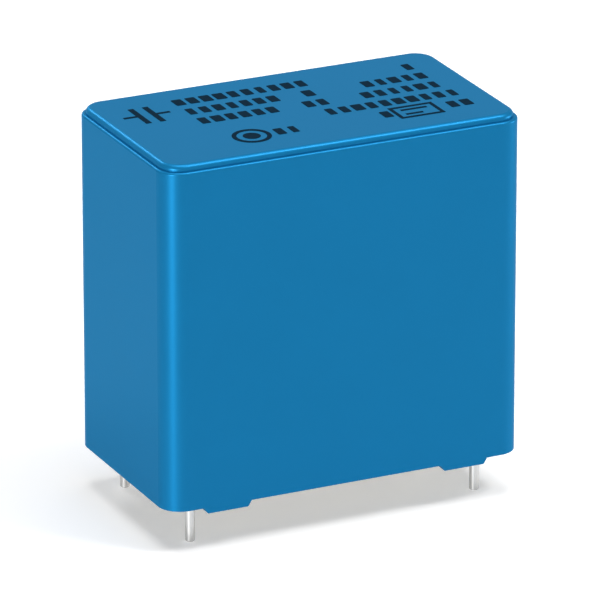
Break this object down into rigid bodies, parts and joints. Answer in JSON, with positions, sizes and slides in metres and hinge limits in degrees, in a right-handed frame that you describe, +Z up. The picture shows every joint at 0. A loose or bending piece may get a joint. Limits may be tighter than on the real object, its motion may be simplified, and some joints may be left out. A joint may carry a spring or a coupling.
{
  "type": "box film capacitor",
  "caption": "Upright box film capacitor: moulded blue case with a raised top panel and stand-off feet, sealed with resin, on straight round wire leads for a circuit board.",
  "frame": {"origin": "middle of the lead pattern, on the plane of the board that the feet stand on", "axes": "+X along the case's length, +Y along its width towards the back, +Z up from the board to the raised panel"},
  "size_m": [0.0316, 0.0178, 0.0327],
  "materials": {
    "case": "satin moulded plastic, blue",
    "resin": "cast epoxy, pale",
    "film": "metallised film, grey",
    "wrap": "plain clear film",
    "sprayed_metal": "rough sprayed metal",
    "tinned_wire": "tinned wire, satin",
    "solder": "solder, satin"
  },
  "bodies": {
    "root": {"case": "case", "potting_resin": "resin", "film_winding": "film", "outer_wrap": "wrap", "end_spray_left": "sprayed_metal", "end_spray_right": "sprayed_metal", "lead_front_left": "tinned_wire", "lead_front_right": "tinned_wire", "lead_back_left": "tinned_wire", "lead_back_right": "tinned_wire", "solder_front_left": "solder", "solder_front_right": "solder", "solder_back_left": "solder", "solder_back_right": "solder"}
  },
  "joints": []
}
